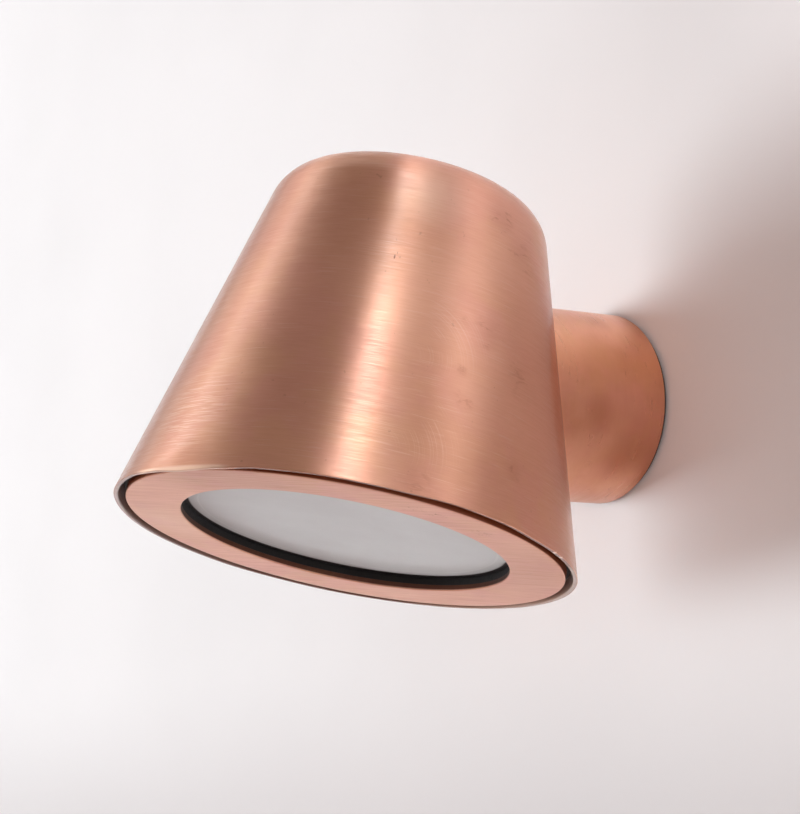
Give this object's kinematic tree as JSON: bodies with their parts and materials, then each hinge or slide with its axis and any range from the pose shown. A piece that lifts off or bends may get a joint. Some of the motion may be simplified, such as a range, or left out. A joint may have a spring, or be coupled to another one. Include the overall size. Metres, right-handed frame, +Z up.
{
  "type": "outdoor wall light",
  "caption": "Outdoor wall light: a leaning copper cone on a short round stem, glazed mouth with a screw-on trim ring, and a twist-in reflector lamp.",
  "frame": {"origin": "centre of the wall pad's back face, where the stem meets the wall", "axes": "+Y into the wall, so the light stands out towards -Y; +Z up; +X to the right of someone who faces the wall"},
  "size_m": [0.115, 0.14, 0.1103],
  "materials": {
    "brushed_copper": "solid copper, finely brushed and left raw, with light tarnish",
    "zinc_steel": "zinc plated steel",
    "cast_aluminium": "turned aluminium, satin",
    "black_aluminium": "turned aluminium, painted matt black",
    "brass_parts": "turned brass",
    "black_rubber": "soft black rubber, matt",
    "pale_silicone": "soft translucent silicone",
    "ceramic": "glazed white ceramic",
    "white_plastic": "moulded heat-resisting plastic",
    "frosted_glass": "toughened glass, acid frosted inside",
    "lamp_body": "powder coated die-cast heat sink, white",
    "lamp_optic": "opal lens",
    "lamp_cap": "white moulded cap",
    "brown_sheath": "silicone lead sheath, brown",
    "blue_sheath": "silicone lead sheath, blue",
    "earth_sheath": "lead sheath, green with a yellow stripe"
  },
  "bodies": {
    "fixture": {"shade": "brushed_copper", "stem_tube": "brushed_copper", "stem_bridge": "zinc_steel", "wall_pad": "black_rubber", "wall_plate": "cast_aluminium", "cable_grommet": "black_rubber", "grub_screw": "zinc_steel", "terminal_block": "white_plastic", "terminal_barrels": "brass_parts", "terminal_screws": "zinc_steel", "block_screws": "zinc_steel", "threaded_nipple": "brass_parts", "nipple_nuts": "brass_parts", "nipple_washers": "zinc_steel", "nipple_bushes": "white_plastic", "earth_tag": "brass_parts", "earth_washer": "zinc_steel", "earth_screw": "brass_parts", "live_lead": "brown_sheath", "neutral_lead": "blue_sheath", "earth_lead": "earth_sheath", "lamp_bracket": "zinc_steel", "lampholder_body": "ceramic", "lampholder_cap": "ceramic", "holder_contacts": "brass_parts", "holder_screws": "zinc_steel", "mouth_collar": "black_aluminium", "collar_seal": "pale_silicone"},
    "lens_carrier": {"lens_glass": "frosted_glass", "lens_gasket": "black_rubber"},
    "trim": {"trim_ring": "brushed_copper"},
    "lamp": {"lamp_shell": "lamp_body", "lamp_lens": "lamp_optic", "lamp_base": "lamp_cap", "lamp_pins": "brass_parts"}
  },
  "joints": [
    {"name": "ring_travel", "type": "slide", "parent": "fixture", "child": "lens_carrier", "axis": [0, -0.2558, -0.9667], "range_m": [0, 0.0045]},
    {"name": "ring_turn", "type": "hinge", "parent": "lens_carrier", "child": "trim", "pos_m": [0, -0.08439, -0.0383], "axis": [0, -0.2558, -0.9667], "range_deg": [0, 1080]},
    {"name": "lamp_twist", "type": "hinge", "parent": "fixture", "child": "lamp", "pos_m": [0, -0.08439, -0.0383], "axis": [0, -0.2558, -0.9667], "range_deg": [0, 45]}
  ],
  "couplings": [
    {"joint": "ring_travel", "follows": "ring_turn", "m_per_rad": 0.00023873}
  ]
}
